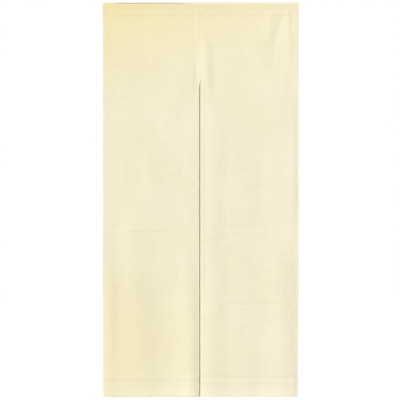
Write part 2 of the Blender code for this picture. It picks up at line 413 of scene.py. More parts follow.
class Graph:
    """Builds one node tree."""

    def __init__(self, tree: bpy.types.NodeTree) -> None:
        """Keeps the tree that the nodes go into."""
        self.tree = tree

    def node(self, kind: str, settings: dict, feeds: dict) -> bpy.types.Node:
        """Adds any node.

        Args:
            kind: the node's type.
            settings: properties to set first. "stops" holds a ramp's (place, colour) rows.
            feeds: a value or a link for each input named by its key, a name or a number.

        Returns:
            The node.
        """
        made = self.tree.nodes.new(kind)
        for name, value in settings.items():
            if name == "stops":
                self.set_stops(made, value)
            else:
                setattr(made, name, value)
        self.feed_all(made, feeds)
        return made

    def first(self, kind: str, settings: Optional[dict] = None, feeds: Optional[dict] = None) -> Socket:
        """Adds any node and returns its first output."""
        return self.node(kind, settings or {}, feeds or {}).outputs[0]

    def named(self, kind: str, output: str) -> Socket:
        """Adds a node without settings and returns one of its outputs by name."""
        return self.node(kind, {}, {}).outputs[output]

    def set_stops(self, ramp: bpy.types.Node, stops: Sequence[tuple[float, Colour]]) -> None:
        """Sets a colour ramp's stops.

        Args:
            ramp: the ramp.
            stops: rows of place and colour.
        """
        elements = ramp.color_ramp.elements
        while len(elements) < len(stops):
            elements.new(0.5)
        for element, (place, colour) in zip(elements, stops):
            element.position = place
            element.color = colour

    def feed(self, target: Socket, value: Feed) -> None:
        """Links or sets one input.

        Args:
            target: the input.
            value: a wire, a socket or a plain value.
        """
        if isinstance(value, Wire):
            self.tree.links.new(value.socket, target)
        elif isinstance(value, Socket):
            self.tree.links.new(value, target)
        else:
            target.default_value = value

    def feed_all(self, node: bpy.types.Node, feeds: dict) -> None:
        """Links or sets the inputs named by a dictionary's keys."""
        for key, value in feeds.items():
            self.feed(node.inputs[key], value)

    def math(self, operation: str, *terms: Feed) -> Wire:
        """A Math node's result."""
        return Wire(self, self.first("ShaderNodeMath", {"operation": operation}, dict(enumerate(terms))))

    def join(self, *terms: Feed) -> Socket:
        """A vector of up to three numbers."""
        return self.first("ShaderNodeCombineXYZ", {}, dict(enumerate(terms)))

    def split(self, vector: Socket) -> list[Wire]:
        """The three numbers of a vector."""
        parts = self.node("ShaderNodeSeparateXYZ", {}, {0: vector})
        return [Wire(self, socket) for socket in parts.outputs]

    def mix(self, factor: Feed, one: Feed, other: Feed) -> Socket:
        """A Mix node's colour."""
        return self.node("ShaderNodeMix", {"data_type": "RGBA"}, {0: factor, 6: one, 7: other}).outputs[2]

    def noise(self, place: Socket, scale: float, detail: float = 2.0) -> Wire:
        """A noise texture's value at one place."""
        feeds = {"Vector": place, "Scale": scale, "Detail": detail}
        return Wire(self, self.first("ShaderNodeTexNoise", {}, feeds))

    def bump(self, strength: float, distance: float, height: Feed) -> Socket:
        """A bumped normal."""
        feeds = {"Strength": strength, "Distance": distance, "Height": height}
        return self.first("ShaderNodeBump", {}, feeds)


def new_material(name: str) -> tuple[Material, Graph, bpy.types.Node]:
    """Adds a material.

    Args:
        name: the material's name.

    Returns:
        The material, its graph and its shader.
    """
    made = bpy.data.materials.new(name)
    made.use_nodes = True
    return made, Graph(made.node_tree), made.node_tree.nodes["Principled BSDF"]


class YellowPatch(NamedTuple):
    """A soft patch where the cloth's colour is pulled towards a darker yellow."""

    across: float
    along: float
    reach_across: float
    reach_along: float
    strength: float


YELLOW_PATCHES = (
    YellowPatch(-0.50, 1.78, 0.50, 0.32, 0.95),
    YellowPatch(0.45, 1.80, 0.80, 0.32, 0.40),
    YellowPatch(-0.36, 0.20, 0.36, 0.34, 0.47),
    YellowPatch(-0.50, 0.95, 0.24, 0.40, 0.22),
    YellowPatch(0.35, 1.54, 0.05, 0.10, -0.07),
)


@dataclass(frozen=True)
class NaturalCloth:
    """Undyed plain-weave cloth: round, uneven yarns, slubs, a slow drift of tone and a few seed flecks."""

    name: str = SLOT
    colour: Colour = (0.828, 0.772, 0.585, 1.0)
    deep: Colour = (0.775, 0.700, 0.500, 1.0)
    pale: Colour = (0.865, 0.815, 0.650, 1.0)
    fleck: Colour = (0.56, 0.44, 0.27, 1.0)
    # The grey of the painted shade in the pocket's top tuck
    painted_shade: Colour = (0.36, 0.38, 0.42, 1.0)
    yellow: Colour = (0.836, 0.746, 0.402, 1.0)
    yarn: float = 0.00105
    yarn_height: float = 0.00016
    yarn_round: float = 0.6
    yarn_middle: float = 0.55
    crossing: float = 0.45
    slub_length: float = 0.045
    slub_scale: float = 0.55
    slub_bend: float = 0.7
    slub_height: float = 0.9
    slub_share: float = 0.5
    gap_shade_share: float = 0.25
    edge_pale_reach: float = 0.036
    edge_pale_share: float = 0.8
    drift_scale: float = 3.2
    drift_share: float = 0.9
    cloud_scale: float = 38.0
    cloud_share: float = 0.5
    fleck_scale: float = 760.0
    fleck_length: float = 0.35
    fleck_limit: float = 0.83
    fleck_share: float = 0.45
    painted_shade_power: float = 16.0
    roughness: float = 0.82
    roughness_spread: float = 0.12
    relief: float = 0.6
    sheen: float = 0.15

    def yarns(self, graph: Graph, across: Wire, along: Wire) -> tuple[Wire, Wire]:
        """The weave's height and its slubs.

        Args:
            graph: the material's graph.
            across: place across the cloth.
            along: place along the cloth.

        Returns:
            The height of the yarns, from 0 to 1, and the slubs, round 0.
        """
        scale, bend = self.slub_scale, self.slub_bend
        warp_slub = graph.noise(graph.join(across / self.yarn, along / self.slub_length), scale, 1.0) - 0.5
        weft_slub = graph.noise(graph.join(across / self.slub_length, along / self.yarn), scale, 1.0) - 0.5
        warp_wave = graph.math("SINE", (across / self.yarn + warp_slub * bend) * pi)
        weft_wave = graph.math("SINE", (along / self.yarn + weft_slub * bend) * pi)
        crossing = warp_wave * weft_wave * self.crossing
        warp = graph.math("ABSOLUTE", warp_wave) ** self.yarn_round * (self.yarn_middle + crossing)
        weft = graph.math("ABSOLUTE", weft_wave) ** self.yarn_round * (self.yarn_middle - crossing)
        return graph.math("MAXIMUM", warp, weft), warp_slub + weft_slub

    def yellow_share(self, graph: Graph, across: Wire, along: Wire) -> Wire:
        """How far the colour is pulled towards yellow, from 0 to 1.

        Args:
            graph: the material's graph.
            across: place across the cloth.
            along: place along the cloth.

        Returns:
            The sum of the soft patches.
        """
        total = None
        for patch in YELLOW_PATCHES:
            wide = (across - patch.across) / patch.reach_across
            tall = (along - patch.along) / patch.reach_along
            share = graph.math("EXPONENT", (wide * wide + tall * tall) * -1.0) * patch.strength
            total = share if total is None else total + share
        return graph.math("MINIMUM", total, 1.0)

    def tuck_shade(self, graph: Graph) -> Wire:
        """How much painted shade darkens the cloth: only in the tuck at the front of the pocket's top.

        Args:
            graph: the material's graph.

        Returns:
            The painted shade, from 0 to 1.
        """
        tuck, top = TOP_TUCK, Pocket().radius
        x, y, z = graph.split(graph.named("ShaderNodeTexCoord", "Object"))
        middle, reach = (tuck.start_x + tuck.end_x) / 2, (tuck.end_x - tuck.start_x) / 2
        across, off_line = (x - middle) / reach, (z - (top - tuck.drop)) / tuck.painted_shade_half
        ends = graph.math("ABSOLUTE", across) ** self.painted_shade_power
        band = graph.math("EXPONENT", (off_line * off_line + ends) * -1.0)
        return band * graph.math("LESS_THAN", y, 0.0) * tuck.painted_shade

    def material(self) -> Material:
        """The finished material."""
        made, graph, shader = new_material(self.name)
        place = graph.first("ShaderNodeUVMap", {"uv_map": UV_NAME})
        across, along, _ = graph.split(place)
        height, slubs = self.yarns(graph, across, along)
        drift, cloudy = graph.noise(place, self.drift_scale), graph.noise(place, self.cloud_scale, 3.0)
        # The tone grows paler towards the bottom edge, within a few centimetres of it.
        edge_pale = graph.math("EXPONENT", along * (-1.0 / self.edge_pale_reach))
        tone = edge_pale * self.edge_pale_share + (drift - 0.5) * self.drift_share + (cloudy - 0.5) * self.cloud_share
        # Painted shade: the weave's height darkens the tone in the gaps between the yarns and lightens it on
        # their crowns.
        tone = tone + slubs * self.slub_share + (height - 0.4) * self.gap_shade_share + 0.5
        stops = ((0.0, self.deep), (0.5, self.colour), (1.0, self.pale))
        ground = graph.first("ShaderNodeValToRGB", {"stops": stops}, {0: tone})
        tinted = graph.mix(self.yellow_share(graph, across, along), ground, self.yellow)
        seeds = graph.noise(graph.join(across, along * self.fleck_length), self.fleck_scale, 0.0)
        flecked = graph.math("GREATER_THAN", seeds, self.fleck_limit) * self.fleck_share
        speckled = graph.mix(flecked, tinted, self.fleck)
        feeds = {
            # Painted shade darkens the front along the tuck at the pocket's top.
            "Base Color": graph.mix(self.tuck_shade(graph), speckled, self.painted_shade),
            "Roughness": self.roughness + cloudy * self.roughness_spread,
            "Normal": graph.bump(self.relief, self.yarn_height, height + slubs * self.slub_height),
            "Sheen Weight": self.sheen,
            "Sheen Roughness": 0.6,
            "Specular IOR Level": 0.25,
        }
        graph.feed_all(shader, feeds)
        return made


@dataclass(frozen=True)
class SewingThread:
    """Matt sewing thread with a two-ply twist."""

    name: str = "sewing_thread"
    colour: Colour = (0.84, 0.78, 0.60, 1.0)
    shade: Colour = (0.77, 0.70, 0.53, 1.0)
    twist: float = 0.0007
    ply_height: float = 0.0001
    fuzz_scale: float = 900.0

    def material(self) -> Material:
        """The finished material."""
        made, graph, shader = new_material(self.name)
        place = graph.named("ShaderNodeTexCoord", "Object")
        x, _, z = graph.split(place)
        ply = 0.5 + graph.math("SINE", (x + z) * (2.0 * pi / self.twist)) * 0.5
        fuzz = graph.noise(place, self.fuzz_scale)
        feeds = {
            # Painted shade in the grooves between the plies, where the twist is low, varied at random by the
            # fuzz.
            "Base Color": graph.mix(ply * 0.5 + fuzz * 0.4, self.shade, self.colour),
            "Roughness": 0.7 + fuzz * 0.15,
            "Normal": graph.bump(0.5, self.ply_height, ply),
        }
        graph.feed_all(shader, feeds)
        return made


@dataclass(frozen=True)
class Cloth:
    """The cloth's thickness, its hems and the spacing of its mesh."""

    thickness: float = 0.0007
    hem_layer: float = 0.0009
    side_hem: float = 0.025
    hem_ledge: float = 0.0006
    slit_hem_x: float = -0.0315
    stitch_inset: float = 0.0020
    edge_round: float = 0.0005
    rim: float = 0.0008
    seam_tight: float = 0.15
    seam_fade: float = 0.030
    wander_reach: float = 0.030
    hang_reach: float = 3.0
    column_spacing: float = 0.0056
    row_spacing: float = 0.0074


@dataclass(frozen=True)
class Pocket:
    """The rod pocket: an arch over the rod's space and two sides that meet at the row of stitches."""

    radius: float = 0.009
    stitch: float = 0.0515
    join_high: float = 0.049
    join_low: float = 0.054
    face: float = 0.0010
    back_ledge: float = 0.0011
    heel_rise: float = 0.0003
    heel_share: float = 0.1
    side_spacing: float = 0.0024
    arch_steps: int = 14
    puff: float = 0.0011
    puff_drop: float = 0.0435
    puff_half: float = 0.0060
    swell: float = 0.0020
    swell_half: float = 0.0075
    tuck_power: int = 4

    def slant(self) -> float:
        """The angle from upright of the two sides."""
        return asin((self.radius - self.face) / (self.stitch - self.radius))

    def arch_drop(self) -> float:
        """The drop at which the sides meet the arch."""
        return self.radius * (1.0 + sin(self.slant()))

    def front_y(self, drop: Array) -> Array:
        """The front's outer face before the folds, puffed above the stitches and swollen at them.

        Args:
            drop: the places down the curtain.

        Returns:
            Y at each place.
        """
        arch_y = -self.radius * cos(self.slant())
        share = np.clip((self.stitch - drop) / (self.stitch - self.arch_drop()), 0.0, 1.0)
        puff = self.puff * bell(drop - self.puff_drop, self.puff_half)
        swell = self.swell * bell(drop - self.stitch, self.swell_half)
        return -self.face + (arch_y + self.face) * share - puff - swell


@dataclass(frozen=True)
class Relief:
    """Everything that moves the cloth's face along Y: folds, creases, grooves, puckers and unevenness."""

    fold_fade: float = 0.120
    folds_start: float = 0.060
    folds_full: float = 0.200
    crease_fade: float = 0.18
    lumps_start: float = 0.045
    lumps_full: float = 0.120
    side_groove: float = 0.0002
    pocket_groove: float = 0.0003
    hem_groove: float = 0.0005
    groove_half: float = 0.0018
    pucker_reach: float = 0.012
    level_seed: float = 11.0
    upright_seed: float = 21.0
    panel_seed: float = 5.0
    arch_fade: float = 0.008

    def folds(self, x: Array, drop: Array) -> Array:
        """Height towards the front of the broad folds, mostly as in the solids.

        Args:
            x: places across.
            drop: places down.

        Returns:
            The height at each place.
        """
        total = np.zeros(x.shape)
        for fold in FOLDS:
            along = np.clip((drop - fold.top_drop) / (fold.bottom_drop - fold.top_drop), 0.0, 1.0)
            middle = fold.top_x + (fold.bottom_x - fold.top_x) * along
            faded = between(fold.top_drop, fold.bottom_drop, self.fold_fade, drop)
            total += fold.depth * faded * bell(x - middle, fold.half_width)
        return total * smooth(self.folds_start, self.folds_full, drop)

    def creases(self, x: Array, drop: Array) -> Array:
        """Height of the narrow creases and of the dimples at crossing stitches.

        Args:
            x: places across.
            drop: places down.

        Returns:
            The height at each place.
        """
        total = np.zeros(x.shape)
        for crease in CREASES:
            run_x, run_drop = crease.end_x - crease.start_x, crease.end_drop - crease.start_drop
            length = hypot(run_x, run_drop)
            from_x, from_drop = x - crease.start_x, drop - crease.start_drop
            along = (from_x * run_x + from_drop * run_drop) / length**2
            off_line = (from_x * run_drop - from_drop * run_x) / length
            faded = between(0.0, 1.0, self.crease_fade, along)
            total += crease.height * faded * bell(off_line, crease.half_width)
        for pinch in PINCHES:
            total -= pinch.depth * bell(np.hypot(x - pinch.x, drop - pinch.drop), pinch.radius)
        return total

    def swells(self, swells: Sequence[Swell], x: Array, drop: Array) -> Array:
        """Height of a panel's level ridges and dips, uneven along their length.

        Args:
            swells: the panel's ridges and dips.
            x: places across.
            drop: places down.

        Returns:
            The height at each place.
        """
        total = np.zeros(x.shape)
        for index, swell in enumerate(swells):
            lumps = 1.0 + SWELL_LUMPS._replace(seed=SWELL_LUMPS.seed + index).at(x)
            total += swell.height * lumps * bell(drop - swell.drop, swell.half_width)
        return total

    def unevenness(self, x: Array, drop: Array) -> Array:
        """Height of the slight lumps of hanging cloth, mostly drawn out downwards."""
        lumps = BROAD_LUMPS.at(x, drop) + SMALL_LUMPS.at(x, drop)
        return lumps * smooth(self.lumps_start, self.lumps_full, drop)

    def stitched(self, across: Array, along: Array, depth: float, seed: float) -> Array:
        """Height round one row of stitches: a narrow groove, with puckers on both sides.

        Args:
            across: signed distance from the row.
            along: place along the row.
            depth: the groove's depth.
            seed: picks the row's puckers.

        Returns:
            The height at each place.
        """
        near = np.exp(-np.abs(across) / self.pucker_reach)
        puckers = PUCKERS._replace(seed=seed).at(along, across)
        return near * puckers - depth * bell(across, self.groove_half)


class Side(Enum):
    """Which half of the curtain a panel is."""

    LEFT = "left"
    RIGHT = "right"


@dataclass
class Sheet:
    """Corners, faces and cloth coordinates gathered for one closed mesh."""

    points: list[Array] = field(default_factory=list)
    faces: list[Array] = field(default_factory=list)
    places: list[Array] = field(default_factory=list)
    count: int = 0

    def add_points(self, points: Array) -> Array:
        """Keeps an array of points.

        Args:
            points: the points, in any layout.

        Returns:
            The points' numbers, in the same layout.
        """
        flat = points.reshape(-1, 3)
        numbers = np.arange(self.count, self.count + len(flat)).reshape(points.shape[:-1])
        self.points.append(flat)
        self.count += len(flat)
        return numbers

    def add_faces(self, numbers: Array, across: Array, along: Array) -> None:
        """Adds the faces between the rows and columns of a grid of points.

        Args:
            numbers: the points' numbers.
            across: each point's place across the cloth.
            along: each point's place along the cloth.
        """
        corners = [
            np.stack([grid[:-1, :-1], grid[:-1, 1:], grid[1:, 1:], grid[1:, :-1]], axis=-1).reshape(-1, 4)
            for grid in (numbers, across, along)
        ]
        self.faces.append(corners[0])
        self.places.append(np.stack(corners[1:], axis=-1).reshape(-1, 2))

    def build(self, name: str) -> bpy.types.Object:
        """Makes the closed mesh, smooth, with its faces outwards and its cloth coordinates as a UV map.

        Args:
            name: the object's name.

        Returns:
            The object.
        """
        mesh = bpy.data.meshes.new(name)
        mesh.from_pydata(np.concatenate(self.points).tolist(), [], np.concatenate(self.faces).tolist())
        layer = mesh.uv_layers.new(name=UV_NAME)
        layer.data.foreach_set("uv", np.concatenate(self.places).ravel())
        work = bmesh.new()
        work.from_mesh(mesh)
        loose = [vertex for vertex in work.verts if not vertex.link_faces]
        bmesh.ops.delete(work, geom=loose, context="VERTS")
        bmesh.ops.recalc_face_normals(work, faces=work.faces)
        open_edges = sum(len(edge.link_faces) != 2 for edge in work.edges)
        work.to_mesh(mesh)
        work.free()
        mesh.shade_smooth()
        LOG.info("%s: %d faces, %d open edges", name, len(mesh.polygons), open_edges)
        made = bpy.data.objects.new(name, mesh)
        bpy.context.scene.collection.objects.link(made)
        return made


@dataclass
class Panel:
    """One hemmed panel, from its bottom edge up the front, over the rod's space and down to the stitches."""

    side: Side
    bottom_hem: float
    flat: tuple[float, float]
    swells: tuple[Swell, ...]
    edge: tuple[tuple[float, float], ...]
    cloth: Cloth = field(default_factory=Cloth)
    pocket: Pocket = field(default_factory=Pocket)
    relief: Relief = field(default_factory=Relief)
    ridge_inset: float = 0.0070
    trough_inset: float = 0.0060
    seam_inset: int = 5

    def __post_init__(self) -> None:
        """Reads the panel's edges from its solid, and works out its columns, stations and points."""
        low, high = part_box(self.node)
        self.length = high.z - low.z
        self.low_x = low.x + self.cloth.edge_round
        self.high_x = LAP_SECTIONS[0].edge_x if self.lapped else high.x - self.cloth.edge_round
        self.top_z = high.z
        self.columns = np.array(self.make_columns())
        self.drops = self.make_drops()
        self.join = self.drops.index(self.pocket.join_high)
        self.make_points()

    @property
    def node(self) -> str:
        """The name of the solid that this panel stands for."""
        return f"{self.side.value}_panel"

    @property
    def lapped(self) -> bool:
        """Whether this panel laps behind the other one."""
        return self.side is Side.LEFT

    def hem_edges(self) -> tuple[float, float]:
        """X of the two side hems' inner edges."""
        high = self.cloth.slit_hem_x if self.lapped else self.high_x - self.cloth.side_hem
        return self.low_x + self.cloth.side_hem, high

    def stitch_columns(self) -> tuple[float, float]:
        """X of the two side hems' rows of stitches."""
        low, high = self.hem_edges()
        return low - self.cloth.stitch_inset, high + self.cloth.stitch_inset

    def stitch_drops(self) -> tuple[float, float]:
        """Drops of the pocket's and the bottom hem's rows of stitches."""
        return self.pocket.stitch, self.length - self.bottom_hem + self.cloth.stitch_inset

    def make_columns(self) -> list[float]:
        """X of the columns, closer at the hems' edges, the rows of stitches and the lap.

        Returns:
            The sorted values.
        """
        low_hem, high_hem = self.hem_edges()
        low_row, high_row = self.stitch_columns()
        ledge, spacing, rim = self.cloth.hem_ledge, self.cloth.column_spacing, self.cloth.rim
        end = LAP_ROOT_X if self.lapped else self.high_x
        turned = [low_row, self.low_x + rim] + [self.low_x + self.ridge_inset] * (not self.lapped)
        columns = graded(self.low_x, low_hem, spacing, turned, CLOSE_COLUMNS)
        first, last = low_hem + ledge, high_hem - ledge
        columns += graded(first, last, spacing, [first + ledge, last - ledge])
        turned = [high_row, end - (self.trough_inset if self.lapped else rim)]
        columns += graded(high_hem, end, spacing, turned, [-offset for offset in CLOSE_COLUMNS])
        if self.lapped:
            columns = columns[:-1] + divided(LAP_ROOT_X, self.high_x, LAP_POINTS - 1)
        return columns

    def make_drops(self) -> list[float]:
        """Drops of the stations on the front, from the bottom edge up to where the arch starts.

        Returns:
            The drops, from the largest to the smallest.
        """
        pocket, ledge, spacing = self.pocket, self.cloth.hem_ledge, self.cloth.row_spacing
        hem_top = self.length - self.bottom_hem
        end = self.length - self.cloth.edge_round
        hem = graded(hem_top, end, spacing, [self.stitch_drops()[1], end - self.cloth.rim], CLOSE_ROWS[1:])
        low_down = [crease for crease in CREASES if crease.start_drop > SLIT_TOP]
        turned = [SLIT_TOP, SLIT_OPEN] + [(crease.start_drop + crease.end_drop) / 2 for crease in low_down]
        body = graded(LAP_SEWN, hem_top - ledge, spacing, turned, CLOSE_ROWS)
        side = graded(pocket.arch_drop(), pocket.join_high, pocket.side_spacing)
        sewn = [LAP_DIP, LAP_TUCK, pocket.join_low, pocket.stitch, pocket.join_high]
        return hem[::-1] + body[::-1] + sewn + side[::-1][1:]

    def seams_relief(self, x: Array, along: Array) -> Array:
        """Height round the side hems' rows of stitches.

        Args:
            x: places across.
            along: places along the cloth, which go on over the pocket.

        Returns:
            The height at each place.
        """
        relief, total = self.relief, np.zeros(x.shape)
        seed = relief.upright_seed + relief.panel_seed * self.lapped
        for index, row in enumerate(self.stitch_columns()):
            total += relief.stitched(x - row, along, relief.side_groove, seed + index)
        return total

    def face_relief(self, x: Array, drop: Array) -> Array:
        """Height towards the front of the panel's face, from every kind of fold, crease and seam.

        Args:
            x: places across.
            drop: places down.

        Returns:
            The height at each place.
        """
        relief = self.relief
        height = relief.folds(x, drop) + relief.creases(x, drop) + relief.unevenness(x, drop)
        height += relief.swells(self.swells, x, drop)
        depths = relief.pocket_groove, relief.hem_groove
        for index, (row, depth) in enumerate(zip(self.stitch_drops(), depths)):
            height += relief.stitched(drop - row, x, depth, relief.level_seed + index)
        arch = self.pocket.arch_drop()
        return height * smooth(arch, arch + relief.arch_fade, drop) + self.seams_relief(x, drop)

    def seam_rounding(self, drop: Array) -> Array:
        """How far the right panel's inner edge is rounded: hardly at all where it is sewn."""
        tight, opened = self.cloth.seam_tight, smooth(SLIT_TOP - self.cloth.seam_fade, SLIT_TOP, drop)
        return self.cloth.edge_round * (tight + (1.0 - tight) * opened)

    def wander(self, drop: Array) -> Array:
        """How far the outer side edge wanders.

        Args:
            drop: places down.

        Returns:
            The way along X at each place.
        """
        edge = self.low_x if self.lapped else self.high_x
        near = smooth(self.cloth.wander_reach, 0.0, np.abs(self.columns - edge))
        return near * EDGE_WANDER.at(drop)

    def make_points(self) -> None:
        """Works out the outer and inner points and the cloth coordinates."""
        cloth = self.cloth
        x, drop = np.meshgrid(self.columns, np.array(self.drops))
        low_hem, high_hem = self.hem_edges()
        bottom = drop >= self.length - self.bottom_hem - TOUCH
        side = (x <= low_hem + TOUCH) | (x >= high_hem - TOUCH)
        thick = cloth.thickness + cloth.hem_layer * (bottom.astype(float) + side.astype(float))
        y = self.pocket.front_y(drop) - self.face_relief(x, drop)
        low_part = smooth(self.length - cloth.hang_reach * self.bottom_hem, self.length, drop)
        z = self.top_z - drop - np.interp(x, *zip(*self.edge)) * low_part
        x = x + self.wander(drop)
        self.rounding = [np.full(len(self.drops), cloth.edge_round)] * 2
        if not self.lapped:
            self.rounding[0] = self.seam_rounding(drop[:, 0])
            x[:, 0] += self.rounding[0] - cloth.edge_round
        outer, inner = np.stack([x, y, z], axis=2), np.stack([x, y + thick, z], axis=2)
        if self.lapped:
            self.bend_lap(outer, inner, thick[:, -1])
        over_outer, over_inner = self.pocket_points(inner, thick[-1])
        self.outer, self.inner = np.concatenate([outer, over_outer]), np.concatenate([inner, over_inner])
        over = len(over_outer)
        self.rounding = [np.append(side, np.full(over, side[-1])) for side in self.rounding]
        steps = np.linalg.norm(np.diff(self.outer, axis=0), axis=2).mean(axis=1)
        self.along = np.concatenate([[0.0], np.cumsum(steps)])
        self.across = np.tile(self.columns, (len(self.outer), 1))
        if self.lapped:
            lap = self.outer[:, -LAP_POINTS:]
            steps = np.linalg.norm(np.diff(lap, axis=1), axis=2)
            self.across[:, -LAP_POINTS:] = lap[:, :1, 0]
            self.across[:, 1 - LAP_POINTS :] += np.cumsum(steps, axis=1)

    def bend_lap(self, outer: Array, inner: Array, thick: Array) -> None:
        """Moves the last columns of the front behind the other panel, in place.

        Args:
            outer: the front's outer points.
            inner: the front's inner points.
            thick: each row's thickness there.
        """
        for row, drop in enumerate(self.drops):
            if drop < LAP_TUCK:
                continue
            for points, profile in zip((outer, inner), lap_profiles(drop, thick[row])):
                x = profile[:, 0]
                places = np.full(x.shape, drop)
                rise = self.relief.folds(x, places) + self.relief.unevenness(x, places)
                points[row, -LAP_POINTS:, 0] = x
                points[row, -LAP_POINTS:, 1] = profile[:, 1] + self.pocket.front_y(places) - rise

    def pocket_points(self, inner: Array, thick: Array) -> tuple[Array, Array]:
        """Points of the arch and of the pocket's back, down to the stitches.

        Args:
            inner: the front's inner points, which the back is sewn to.
            thick: each column's thickness.

        Returns:
            The outer and the inner points, a row for each station. The last is sewn to the front's inside.
        """
        pocket, tuck, x = self.pocket, TOP_TUCK, inner[-1, :, 0]
        outer, inside, lumps = [], [], ARCH_LUMPS.at(x)
        faded = between(tuck.start_x, tuck.end_x, tuck.fade, x)
        pressed = tuck.depth * (tuck.faint_share + (1.0 - tuck.faint_share) * faded)
        turned, wide = asin(1.0 - tuck.drop / pocket.radius), tuck.half_width / pocket.radius
        low, high = -pocket.slant(), pi + pocket.slant()
        offsets = [wide * share for share in TUCK_STEPS]
        for turn in graded(low, high, (high - low) / pocket.arch_steps, [turned], offsets)[1:]:
            along = pocket.arch_drop() - pocket.radius * (turn + pocket.slant())
            seams = self.seams_relief(x, np.full(x.shape, along))
            reach = pocket.radius + seams + lumps * sin(min(max(turn, 0.0), pi)) ** 2
            back = pressed * bell(turn - turned, wide, pocket.tuck_power)
            for points, level in ((outer, reach), (inside, reach - thick)):
                points.append(np.stack([x, back - level * cos(turn), level * sin(turn)], axis=1))
        foot, sewn = inner[self.join - 2], inner[self.join]
        heel = foot + (0.0, pocket.back_ledge, pocket.heel_rise)
        top, inside_top = outer[-1], inside[-1]
        sag = BACK_LUMPS.at(x)
        steps = max(2, round((top[0, 2] - foot[0, 2]) / (2.0 * pocket.side_spacing)))
        for share in divided(0.0, 1.0, steps)[1:-1]:
            swell = np.stack([x * 0.0, sag * sin(pi * share), x * 0.0], axis=1)
            outer.append(top + (heel - top) * share + swell)
            inside.append(inside_top + (sewn - inside_top) * share + swell)
        outer += [heel, foot]
        inside += [sewn + (inside_top - sewn) * pocket.heel_share, sewn]
        return np.array(outer), np.array(inside)

    def build(self, finish: Material) -> bpy.types.Object:
        """The panel's cloth as one closed mesh.

        Args:
            finish: the cloth's material.

        Returns:
            The finished piece.
        """
        sheet, join = Sheet(), self.join
        front, back = sheet.add_points(self.outer), sheet.add_points(self.inner)
        across, along = self.across, np.tile(self.along[:, None], (1, len(self.columns)))
        front[-1], back[-1] = back[join - 2], back[join]
        sheet.add_faces(front, across, along)
        sheet.add_faces(back[: join - 1], across[: join - 1], along[: join - 1])
        sheet.add_faces(back[join:], across[join:], along[join:])
        middle = (self.outer + self.inner) / 2
        ends = sheet.add_points(middle[0] - (0.0, 0.0, self.cloth.edge_round))
        rim = np.stack([front[0], ends, back[0]])
        sheet.add_faces(rim, np.stack([across[0]] * 3), np.stack([along[0]] * 3))
        for column, outwards, rounding in ((0, -1.0, self.rounding[0]), (-1, 1.0, self.rounding[1])):
            bead = sheet.add_points(middle[:, column] + np.outer(rounding, (outwards, 0.0, 0.0)))
            bead[-1] = back[join - 1, column]
            edge = np.stack([front[:, column], bead, back[:, column]], axis=1)
            sheet.add_faces(edge, *(np.stack([grid[:, column]] * 3, axis=1) for grid in (across, along)))
            corner = np.array([[front[0, column], ends[column]], [bead[0], back[0, column]]])
            sheet.add_faces(corner, np.full((2, 2), self.across[0, column]), np.zeros((2, 2)))
        piece = sheet.build(f"{self.side.value}_cloth")
        piece.data.materials.append(finish)
        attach(piece, BODY)
        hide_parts(self.node)
        return piece

    def stitch_lines(self) -> Lines:
        """The rows of stitches, on both faces.

        Returns:
            For each row its points and, at each point, the direction away from the cloth.
        """
        away = self.outer - self.inner
        away /= np.maximum(np.linalg.norm(away, axis=2), TINY)[..., None]
        drops = np.array(self.drops)
        pocket_row, hem_row = [int(np.argmin(np.abs(drops - drop))) for drop in self.stitch_drops()]
        whole = slice(1, -self.seam_inset if self.lapped else -1)
        flat = slice(1, -LAP_POINTS if self.lapped else -1)
        lines = [(self.outer[pocket_row, whole], away[pocket_row, whole])]
        lines.append((self.outer[hem_row, flat], away[hem_row, flat]))
        lines.append((self.inner[hem_row, flat], -away[hem_row, flat]))
        sewn = (self.outer[-2, whole] + self.outer[-3, whole]) / 2
        lines.append((sewn, np.broadcast_to((0.0, 1.0, 0.0), sewn.shape)))
        under = slice(1, self.join - 2)
        for x in self.stitch_columns():
            column = int(np.argmin(np.abs(self.columns - x)))
            lines.append((self.outer[1:-2, column], away[1:-2, column]))
            lines.append((self.inner[under, column], -away[under, column]))
        return lines


STITCH_SIZES = ("Pitch", "Length", "Thread", "Lift", "Dip", "Lean", "Stretch")


